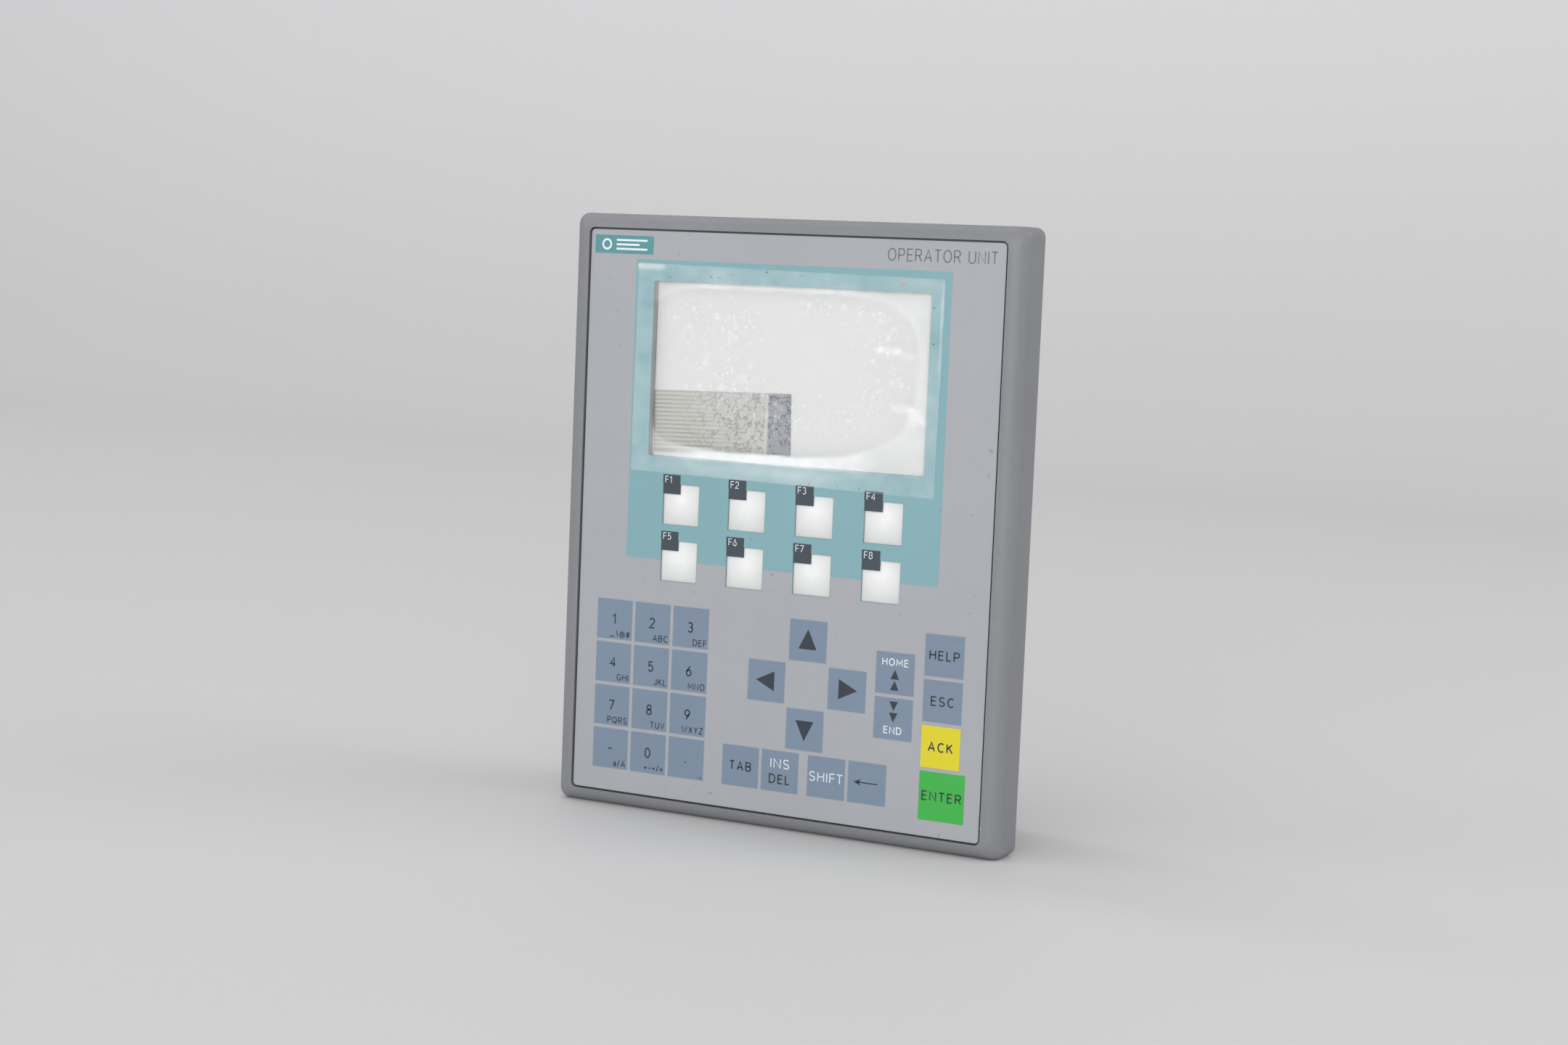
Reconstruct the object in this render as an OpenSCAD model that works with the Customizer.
// Keypad operator panel for a control cabinet, flush mounted through a panel cut-out.
// X runs to the right, Z up, and the front faces -Y. The origin is the centre of the
// cut-out on the seal's face: the front stands at negative Y, the housing at positive Y.
// All sizes are in millimetres.

/* [Front frame] */
// Width of the front
front_w = 152; // [151:1:156]
// Height of the front
front_h = 185; // [185:1:190]
// Depth from the foil's face to the back of the frame
frame_d = 13; // [12.5:0.5:16]
// Height of the ring that stands proud around the foil
ring_proud = 0.5; // [0.2:0.1:1]
// Radius of the front's four corners
corner_r = 3; // [2.5:0.5:5]
// Radius of the front's rounded edge
edge_r = 5; // [3:0.5:5]

/* [Foil and keys] */
// Width of the keypad foil
foil_w = 139; // [138.5:0.5:140]
// Height of the keypad foil
foil_h = 175; // [174:0.5:176]
// Width of the groove around the foil
foil_groove = 0.6; // [0.3:0.1:0.8]
// Distance between neighbouring keys
key_pitch = 13.6; // [13.5:0.1:13.7]
// Side of a square key's printed face
key_side = 12.5; // [12:0.1:12.5]
// Side of the enter key's printed face
enter_side = 14.6; // [13:0.1:14.8]
// Distance between the columns of function keys
f_pitch_x = 22.9; // [18:0.1:24]
// Distance between the two rows of function keys
f_pitch_z = 17.5; // [15:0.1:17.6]
// Travel of every key
key_travel = 0.4; // [0.2:0.05:0.4]

/* [Display] */
// Width of the window
window_w = 93.4; // [80:0.2:93.6]
// Height of the window
window_h = 53.8; // [44:0.2:54]
// Height of the window's centre above the panel's centre
window_z = 45.5; // [44:0.5:46]
// Depth of the display's cover sheet behind the foil's face
display_depth = 3; // [2.8:0.1:3.2]

/* [Protective film] */
// Width of the film over the window
film_w = 103; // [98:1:106]
// Height of the film over the window
film_h = 64; // [58:1:64]
// Angle by which the film was put on out of square
film_turn = 0.75; // [0:0.25:1.5]

/* [Housing] */
// Width of the panel cut-out that the housing fits
cutout_w = 135; // [135:0.5:136]
// Height of the panel cut-out that the housing fits
cutout_h = 171; // [171:0.5:172]
// Depth of the housing's full-size section behind the seal
step_y = 14; // [13:1:15]
// Depth of the whole housing behind the seal
housing_y = 36; // [36:1:40]
// Wall thickness of the housing
wall = 2; // [1.8:0.1:2.2]
// Width of the narrow rear section
rear_w = 114; // [112:1:114]

/* [Hidden] */
$fn = 64;
slack = 0.15;                       // gap around a piece that lies in a pocket
cut = 1;                            // overshoot of a cutting solid

// Depths along Y, from the front to the back
seal_proud = 0.5;
foil_t = 0.5;
spacer_t = 1.3;
circuit_t = 0.3;
web_t = 2.4;
y_rim = -seal_proud;
y_foil = y_rim - frame_d;
y_ring = y_foil - ring_proud;
y_spacer = y_foil + foil_t;
y_circuit = y_spacer + spacer_t;
y_web = y_circuit + circuit_t;
y_web_back = y_web + web_t;
y_seat = y_foil + display_depth;

// Keys and the domes under them
key_r = 0.3;
key_margin = 0.13;                  // unprinted edge around a key's face
key_gap = 0.02;                     // running gap between a key and the foil
pip_r = 1.7;
pip_h = 0.5;
dome_r = 5;
dome_gap = 0.03;
dome_h = spacer_t - pip_h - dome_gap;

number_x = -42.8;
number_z = -53.85;
cursor_x = 11.3;
insert_x = -3.3;
shift_x = 26;
home_x = 40.45;
system_x = 56.15;
enter_x = 57.2;
enter_z = -75.35;
f_z = -4.7;
row_z = [for (i = [1.5, 0.5, -0.5, -1.5]) number_z + i * key_pitch];
number_names = [["1", "2", "3"], ["4", "5", "6"], ["7", "8", "9"], ["minus", "0", "point"]];

// Each key is its name, x, z, side and colour
plain = "#788fa8";
number_keys = [
    for (r = [0:3], c = [0:2])
        [str("key_", number_names[r][c]), number_x + (c - 1) * key_pitch, row_z[r], key_side, plain]
];
cursor_keys = [
    ["key_up", cursor_x, row_z[0], key_side, plain],
    ["key_left", cursor_x - key_pitch, row_z[1], key_side, plain],
    ["key_right", cursor_x + key_pitch, row_z[1], key_side, plain],
    ["key_down", cursor_x, row_z[2], key_side, plain],
    ["key_home", home_x, row_z[1] + key_pitch / 2, key_side, plain],
    ["key_end", home_x, row_z[1] - key_pitch / 2, key_side, plain]
];
edit_keys = [
    ["key_tab", insert_x - key_pitch / 2, row_z[3], key_side, plain],
    ["key_insert", insert_x + key_pitch / 2, row_z[3], key_side, plain],
    ["key_shift", shift_x - key_pitch / 2, row_z[3], key_side, plain],
    ["key_back", shift_x + key_pitch / 2, row_z[3], key_side, plain]
];
system_keys = [
    ["key_help", system_x, row_z[0], key_side, plain],
    ["key_escape", system_x, row_z[1], key_side, plain],
    ["key_acknowledge", system_x, row_z[2], key_side, "#e4d634"],
    ["key_enter", enter_x, enter_z, enter_side, "#46b450"]
];
function_keys = [
    for (i = [0:7])
        [
            str("key_f", i + 1),
            (i % 4 - 1.5) * f_pitch_x,
            f_z + (i < 4 ? 0.5 : -0.5) * f_pitch_z,
            key_side,
            "#eceded"
        ]
];
KEYS = concat(number_keys, cursor_keys, edit_keys, system_keys, function_keys);

// Side of the hole in the foil that a key sits in
function key_hole(k) = k[3] + 2 * (key_margin + key_gap);

// Display module, centred on the window
sheet_t = 0.2;
glass_t = 2.2;
light_t = 3.6;
board_t = 1.6;
tray_t = 0.6;
tray_w = 107;
tray_h = 68;
y_tray = y_seat + sheet_t;
y_glass = y_tray + tray_t;
y_light = y_glass + glass_t;
y_display_board = y_light + light_t;
display_screw_x = 57;
display_screw_z = 25;

// Keypad tail, lying in the gap in front of the cover sheet
tail_h = 19;
tail_t = 0.15;
tail_z = 30.7;
tail_end_x = 0.9;
tail_turn = 1.7;
tail_start_y = y_circuit + 0.1;
tail_flat_y = y_seat - 0.3;

// Housing
cover_gap = 0.4;                    // play of the housing in the cut-out, on each side
cover_w = cutout_w - 2 * cover_gap;
cover_h = cutout_h - 2 * cover_gap;
cover_r = 3;
y_cover = y_rim - 3.5;              // the cover's edge reaches this far into the frame
rear_top = 72;
rear_bottom = -80;
rear_h = rear_top - rear_bottom;
rear_z = (rear_top + rear_bottom) / 2;
seal_outer_w = cutout_w + 10;
seal_outer_h = cutout_h + 10;
seal_inner_w = cutout_w + 2;
seal_inner_h = cutout_h + 2;
seal_depth = 2;
clamp_slot_z = 55;
clamp_slot_h = 12;
clamp_slot_d = 5;
clamp_slot_y = 4;
cover_screw_x = 61.5;
cover_screw_zs = [-78, 0, 78];
cover_post_r = 3;
screw_r = 1.5;

// Main board and the sockets on its lower edge, which look down
y_board = 20;
main_board_w = 104;
main_board_bottom = rear_bottom + 4;
main_board_top = rear_top - 6;
board_screw_x = 48;
board_screw_zs = [-60, 58];
standoff_r = 3.2;
socket_y = y_board + board_t + 6;
power_x = -38;
power_w = 20.3;
power_d = 12;
power_flange = 5;
usb_x = 0;
usb_w = 13.2;
usb_d = 5.8;
usb_y = y_board + board_t + usb_d / 2;
serial_x = 33;
serial_w = 30.8;
serial_d = 12.4;
serial_shell_w = 16.9;
serial_shell_d = 8.3;
serial_shell_h = 6;
jack_spacing = 25;
jack_bore_r = 1.4;
jack_h = 5;
earth_x = -14;
earth_screw_r = 2;

// Outline of a plate with rounded corners
module rounded(w, h, r) {
    square([w - 2 * r, h], center = true);
    square([w, h - 2 * r], center = true);
    for (x = [-1, 1], z = [-1, 1])
        translate([x * (w / 2 - r), z * (h / 2 - r)]) circle(r);
}

// Plate parallel to the front, from depth y0 to y1
module plate(w, h, y0, y1, r = 0) {
    translate([0, y1, 0]) rotate([90, 0, 0]) linear_extrude(y1 - y0)
        if (r > 0) rounded(w, h, r);
        else square([w, h], center = true);
}

// Box between two opposite corners
module box(low, high) {
    translate(low) cube(high - low);
}

// Round piece along Y, from depth y0 to y1
module round_y(r, y0, y1) {
    translate([0, y0, 0]) rotate([-90, 0, 0]) cylinder(r = r, h = y1 - y0);
}

// Round piece along Z, from height z0 to z1
module round_z(r, z0, z1) {
    translate([0, 0, z0]) cylinder(r = r, h = z1 - z0);
}

// Block with rounded corners and front edges rounded all the way round
module soft_block(w, h, y0, y1) {
    hull() for (a = [0:7.5:90]) {
        inset = 2 * edge_r * (1 - sin(a));
        plate(w - inset, h - inset, y0 + edge_r * (1 - cos(a)), y1, corner_r, $fn = 32);
    }
}

module at_each(xs, zs) {
    for (x = xs, z = zs) translate([x, 0, z]) children();
}

module at_window() {
    translate([0, 0, window_z]) children();
}

module at_display_screws() {
    at_window() at_each([-display_screw_x, display_screw_x], [-display_screw_z, display_screw_z])
        children();
}

module at_cover_screws() {
    at_each([-cover_screw_x, cover_screw_x], cover_screw_zs) children();
}

module at_board_screws() {
    at_each([-board_screw_x, board_screw_x], board_screw_zs) children();
}

// Pan head screw along Y with a cross recess, its head towards +Y at depth y_head
module screw_back(r, head_r, head_h, y_tip, y_head) {
    difference() {
        union() {
            round_y(r, y_tip, y_head + cut / 2);
            round_y(head_r, y_head, y_head + head_h);
        }
        cross_slot(head_r, y_head + head_h);
    }
}

// Cross recess sunk 1 mm below depth y
module cross_slot(head_r, y) {
    for (a = [0, 90])
        rotate([0, a, 0]) box([-head_r * 0.6, y - 1, -0.3], [head_r * 0.6, y + cut, 0.3]);
}

module front_frame() {
    inner_w = cover_w - 4;
    inner_h = cover_h - 4;
    color("#828386") difference() {
        union() {
            difference() {
                soft_block(front_w, front_h, y_ring, y_rim);
                plate(inner_w, inner_h, y_web_back, y_rim + cut, cover_r);
                plate(cover_w + 2 * slack, cover_h + 2 * slack, y_cover, y_rim + cut, cover_r);
            }
            at_display_screws() round_y(3, y_web_back - cut, y_display_board);
            at_cover_screws() round_y(cover_post_r, y_web_back - cut, step_y - wall);
        }
        plate(foil_w + 2 * foil_groove, foil_h + 2 * foil_groove, y_ring - cut, y_web, 1.8);
        at_window() plate(window_w, window_h, y_web - cut, y_web_back + cut, 0.8);
        at_window() plate(tray_w + 1, tray_h + 1, y_seat, y_web_back + cut);
        at_display_screws() round_y(1.1, y_web_back, y_display_board + cut);
        at_cover_screws() round_y(screw_r, step_y - wall - 12, step_y - wall + cut);
        difference() {
            plate(seal_outer_w + 0.1, seal_outer_h + 0.1, y_rim - seal_depth, y_rim + cut, 5);
            plate(seal_inner_w - 0.1, seal_inner_h - 0.1, y_rim - seal_depth - cut, y_rim + 2 * cut, 3);
        }
    }
}

module keypad_foil() {
    color("#b4b9be") difference() {
        plate(foil_w, foil_h, y_foil, y_spacer, 1.2);
        at_window() plate(window_w, window_h, y_foil - cut, y_spacer + cut, 0.8);
        for (k = KEYS) translate([k[1], 0, k[2]])
            plate(key_hole(k), key_hole(k), y_foil - cut, y_spacer + cut, key_r);
    }
}

module display_window() {
    color("#e8f0f0", 0.3) at_window()
        plate(window_w - 0.1, window_h - 0.1, y_foil, y_spacer, 0.75);
}

module protective_film() {
    color("#f4f8f8", 0.4) translate([-0.9, 0, 45]) rotate([0, film_turn, 0])
        plate(film_w, film_h, y_foil - 0.1, y_foil, 2);
}

module key_spacer() {
    clear_y = y_spacer + key_travel + slack;
    color("#d9dcde") difference() {
        plate(foil_w - 1, foil_h - 1, y_spacer, y_circuit, 1.2);
        at_window() plate(window_w, window_h, y_spacer - cut, y_circuit + cut, 0.8);
        for (k = KEYS) translate([k[1], 0, k[2]]) {
            plate(key_hole(k) + 0.1, key_hole(k) + 0.1, y_spacer - cut, clear_y, key_r);
            round_y(dome_r + 0.3, y_spacer, y_circuit + cut);
        }
    }
}

module snap_domes() {
    color("#c9cbcc") for (k = KEYS)
        translate([k[1], y_circuit, k[2]]) rotate([90, 0, 0]) rotate_extrude()
            polygon([
                [0, dome_h], [2, dome_h * 0.9], [4, dome_h * 0.5], [dome_r, 0],
                [dome_r - 0.4, 0], [3.8, dome_h * 0.3], [2, dome_h * 0.68], [0, dome_h * 0.78]
            ]);
}

module keypad_circuit() {
    color("#c8b98a") difference() {
        plate(foil_w - 1, foil_h - 1, y_circuit, y_web, 1.2);
        at_window() plate(window_w, window_h, y_circuit - cut, y_web + cut, 0.8);
    }
}

module keypad_tail() {
    start_x = -window_w / 2 + 0.4;
    bend_x = start_x + 6;
    color("#b9b3a2") translate([tail_end_x, 0, tail_z]) rotate([0, -tail_turn, 0])
        translate([-tail_end_x, 0, -tail_h / 2]) linear_extrude(tail_h)
            polygon([
                [start_x, tail_start_y], [bend_x, tail_flat_y], [tail_end_x, tail_flat_y],
                [tail_end_x, tail_flat_y + tail_t], [bend_x, tail_flat_y + tail_t],
                [start_x, tail_start_y + tail_t]
            ]);
}

module display_cover_sheet() {
    color("#ebeceb") at_window() plate(tray_w, tray_h, y_seat, y_tray);
}

module display_tray() {
    color("#b8babc") at_window() difference() {
        plate(tray_w, tray_h, y_tray, y_display_board);
        plate(tray_w - 2 * tray_t, tray_h - 2 * tray_t, y_glass, y_display_board + cut);
        plate(window_w + 2, window_h + 2, y_tray - cut, y_glass + cut);
    }
}

module display_glass() {
    color("#5a6a64") at_window()
        plate(tray_w - 2 * tray_t - 0.4, tray_h - 2 * tray_t - 0.4, y_glass, y_light);
}

module backlight() {
    color("#f2f2ee") at_window()
        plate(tray_w - 2 * tray_t - 0.4, tray_h - 2 * tray_t - 0.4, y_light, y_display_board);
}

module display_board() {
    color("#2f6b43") difference() {
        at_window() plate(
            2 * display_screw_x + 7, 2 * display_screw_z + 7, y_display_board, y_display_board + board_t
        );
        at_display_screws() round_y(1.4, y_display_board - cut, y_display_board + board_t + cut);
    }
}

module display_screws() {
    color("#c4c6c8") at_display_screws()
        screw_back(1.05, 2.3, 1.6, y_display_board - 4, y_display_board + board_t);
}

// Flat ribbon from the display's board back to the main board
module display_ribbon() {
    y0 = y_display_board + board_t;
    ribbon_t = 0.3;
    color("#d6d2c4") translate([-12, 0, 0]) rotate([0, 90, 0]) linear_extrude(24)
        polygon([
            [-14, y0], [-6, y0], [-4, y0 + 2], [-4, y_board], [-4 - ribbon_t, y_board],
            [-4 - ribbon_t, y0 + 2 + ribbon_t], [-6 - ribbon_t, y0 + ribbon_t], [-14, y0 + ribbon_t]
        ]);
}

module main_board() {
    color("#2f6b43") difference() {
        box(
            [-main_board_w / 2, y_board, main_board_bottom],
            [main_board_w / 2, y_board + board_t, main_board_top]
        );
        at_board_screws() round_y(1.7, y_board - cut, y_board + board_t + cut);
    }
}

// Integrated circuits, capacitors and a coil on the board's two faces
module board_components() {
    back = y_board + board_t;
    chips = [[-22, 28, 20, 20, 1.6], [14, 32, 14, 10, 1.2], [14, 12, 14, 10, 1.2], [38, 30, 12, 8, 2.6]];
    cans = [[-40, -42, 4, 10], [-28, -42, 4, 10], [-40, -28, 3.2, 8]];
    color("#26282b") for (c = chips)
        box([c[0] - c[2] / 2, back, c[1] - c[3] / 2], [c[0] + c[2] / 2, back + c[4], c[1] + c[3] / 2]);
    color("#3b3f63") for (c = cans)
        translate([c[0], 0, c[1]]) round_y(c[2], back, back + c[3]);
    color("#3a3a3a") translate([-14, 0, -36]) difference() {
        round_y(6, back, back + 6);
        round_y(2, back + 1, back + 6 + cut);
    }
}

module board_screws() {
    color("#c4c6c8") at_board_screws() mirror([0, 1, 0])
        screw_back(screw_r, 2.8, 2, -y_board - board_t - 5, -y_board);
}

// Three-pole supply socket, open downwards, with a screw ear at each side
module power_socket() {
    ear_w = power_w + 2 * power_flange;
    z0 = rear_bottom + 0.2;
    color("#4f9a56") translate([power_x, socket_y, 0]) difference() {
        union() {
            box([-ear_w / 2, -power_d / 2, z0], [ear_w / 2, power_d / 2, z0 + 3]);
            box([-power_w / 2, -power_d / 2, z0], [power_w / 2, power_d / 2, z0 + 12]);
        }
        for (x = [-1, 1])
            translate([x * (power_w + power_flange) / 2, 0, 0]) round_z(1.25, z0 - cut, z0 + 3 + cut);
    }
}

// Plug with three clamping screws, held by two long screws in the socket's ears
module power_plug() {
    ear_w = power_w + 2 * power_flange;
    pole = power_w / 4;
    top = rear_bottom + 0.2;
    plug_h = 9.9;
    color("#57a65e") translate([power_x, socket_y, 0]) difference() {
        union() {
            box([-power_w / 2, -power_d / 2, top - plug_h], [power_w / 2, power_d / 2, top]);
            box([-ear_w / 2, -power_d / 2 + 2, top - 5], [ear_w / 2, power_d / 2 - 2, top]);
        }
        for (i = [-1, 0, 1]) translate([i * pole, 0, 0]) {
            translate([0, -2.5, 0]) round_z(1.6, top - plug_h - cut, top - plug_h + 3);
            translate([0, 2.6, 0]) box([-1.6, -1.4, top - plug_h - cut], [1.6, 1.4, top - plug_h + 6]);
        }
        for (x = [-1, 1])
            translate([x * (power_w + power_flange) / 2, 0, 0]) round_z(1.25, top - 5 - cut, top + cut);
    }
}

// Nine-pole socket: flange behind the wall, shell and two threaded posts through it
module serial_port() {
    inner = rear_bottom + wall;
    shell_end = rear_bottom - serial_shell_h + wall;
    color("#c8cacc") translate([serial_x, socket_y, 0]) difference() {
        union() {
            box([-serial_w / 2, -serial_d / 2 + 0.2, inner], [serial_w / 2, serial_d / 2 - 0.2, inner + 1]);
            box([-9.5, -6, inner], [9.5, 5, inner + 9]);
            box(
                [-serial_shell_w / 2, -serial_shell_d / 2, shell_end],
                [serial_shell_w / 2, serial_shell_d / 2, inner + 0.5]
            );
            for (x = [-1, 1])
                translate([x * jack_spacing / 2, 0, 0]) round_z(2.5, rear_bottom - jack_h, inner + 0.5);
        }
        for (x = [-1, 1])
            translate([x * jack_spacing / 2, 0, 0]) round_z(jack_bore_r, rear_bottom - jack_h - cut, inner - 1);
        for (i = [-2:2])
            translate([i * 2.77, -1.42, 0]) round_z(0.6, shell_end - cut, shell_end + 4);
        for (i = [-1.5:1.5])
            translate([i * 2.77, 1.42, 0]) round_z(0.6, shell_end - cut, shell_end + 4);
    }
}

module usb_port() {
    z0 = rear_bottom + 0.2;
    color("#c8cacc") translate([usb_x, usb_y, 0]) difference() {
        box([-usb_w / 2, -usb_d / 2, z0], [usb_w / 2, usb_d / 2, z0 + 14]);
        box([-usb_w / 2 + 0.4, -usb_d / 2 + 0.4, z0 - cut], [usb_w / 2 - 0.4, usb_d / 2 - 2.6, z0 + 10]);
    }
}

// Earth screw with its washer on the housing's lower wall
module earth_terminal() {
    color("#c9b26a") translate([earth_x, socket_y, 0]) difference() {
        union() {
            round_z(5, rear_bottom - 1, rear_bottom);
            round_z(3.8, rear_bottom - 3.6, rear_bottom - 0.5);
            round_z(earth_screw_r, rear_bottom - 1, rear_bottom + 7);
        }
        box([-3, -0.5, rear_bottom - 3.6 - cut], [3, 0.5, rear_bottom - 2.4]);
    }
}

module rear_cover() {
    slot_w = 2.6;
    slot_pitch = 6;
    post_y = y_board + board_t;
    color("#5d6063") difference() {
        union() {
            difference() {
                union() {
                    plate(cover_w, cover_h, y_cover, step_y, cover_r);
                    translate([0, 0, rear_z]) plate(rear_w, rear_h, step_y - cut, housing_y, cover_r);
                }
                plate(cover_w - 2 * wall, cover_h - 2 * wall, y_cover - cut, step_y - wall, cover_r - 1);
                translate([0, 0, rear_z])
                    plate(rear_w - 2 * wall, rear_h - 2 * wall, step_y - wall - cut, housing_y - wall, 1);
            }
            at_board_screws() round_y(standoff_r, post_y, housing_y - wall / 2);
        }
        at_board_screws() round_y(screw_r, post_y - cut, post_y + 8);
        at_cover_screws() round_y(screw_r + 0.2, step_y - wall - cut, step_y + cut);
        // Clamp slots in the two long sides
        for (x = [-1, 1], z = [-1, 1])
            translate([x * cover_w / 2, clamp_slot_y, z * clamp_slot_z])
                box([-wall - cut, 0, -clamp_slot_h / 2], [wall + cut, clamp_slot_d, clamp_slot_h / 2]);
        // Air slots in the top wall and in the back
        for (i = [-7:7]) translate([i * slot_pitch, 0, 0]) {
            box([-slot_w / 2, step_y + 5, rear_top - wall - cut], [slot_w / 2, housing_y - 5, rear_top + cut]);
            box([-slot_w / 2, housing_y - wall - cut, 40], [slot_w / 2, housing_y + cut, 56]);
        }
        // Openings in the lower wall for the sockets and the earth screw
        translate([power_x, socket_y, 0])
            box(
                [-power_w / 2 - power_flange - slack, -power_d / 2 - slack, rear_bottom - cut],
                [power_w / 2 + power_flange + slack, power_d / 2 + slack, rear_bottom + wall + cut]
            );
        translate([usb_x, usb_y, 0])
            box(
                [-usb_w / 2 - slack, -usb_d / 2 - slack, rear_bottom - cut],
                [usb_w / 2 + slack, usb_d / 2 + slack, rear_bottom + wall + cut]
            );
        translate([serial_x, socket_y, 0]) {
            box(
                [-serial_shell_w / 2 - slack, -serial_shell_d / 2 - slack, rear_bottom - cut],
                [serial_shell_w / 2 + slack, serial_shell_d / 2 + slack, rear_bottom + wall + cut]
            );
            for (x = [-1, 1])
                translate([x * jack_spacing / 2, 0, 0])
                    round_z(2.5 + slack, rear_bottom - cut, rear_bottom + wall + cut);
        }
        translate([earth_x, socket_y, 0])
            round_z(earth_screw_r, rear_bottom - cut, rear_bottom + wall + cut);
    }
}

module cover_screws() {
    color("#c4c6c8") at_cover_screws()
        screw_back(screw_r - 0.05, 2.8, 2, step_y - wall - 10, step_y);
}

module panel_seal() {
    color("#2b2c2e") difference() {
        plate(seal_outer_w, seal_outer_h, y_rim - seal_depth, 0, 5);
        plate(seal_inner_w, seal_inner_h, y_rim - seal_depth - cut, cut, 3);
    }
}

// One key: a printed patch of the foil with a pip that presses the dome
module key(k) {
    side = key_hole(k) - 2 * key_gap;
    color(k[4]) translate([k[1], 0, k[2]]) {
        plate(side, side, y_foil, y_spacer, key_r - key_gap);
        round_y(pip_r, y_spacer - 0.1, y_spacer + pip_h);
    }
}

front_frame();
keypad_foil();
display_window();
protective_film();
key_spacer();
snap_domes();
keypad_circuit();
keypad_tail();
display_cover_sheet();
display_tray();
display_glass();
backlight();
display_board();
display_screws();
display_ribbon();
main_board();
board_components();
board_screws();
power_socket();
power_plug();
serial_port();
usb_port();
earth_terminal();
rear_cover();
cover_screws();
panel_seal();
for (k = KEYS)
    key(k);
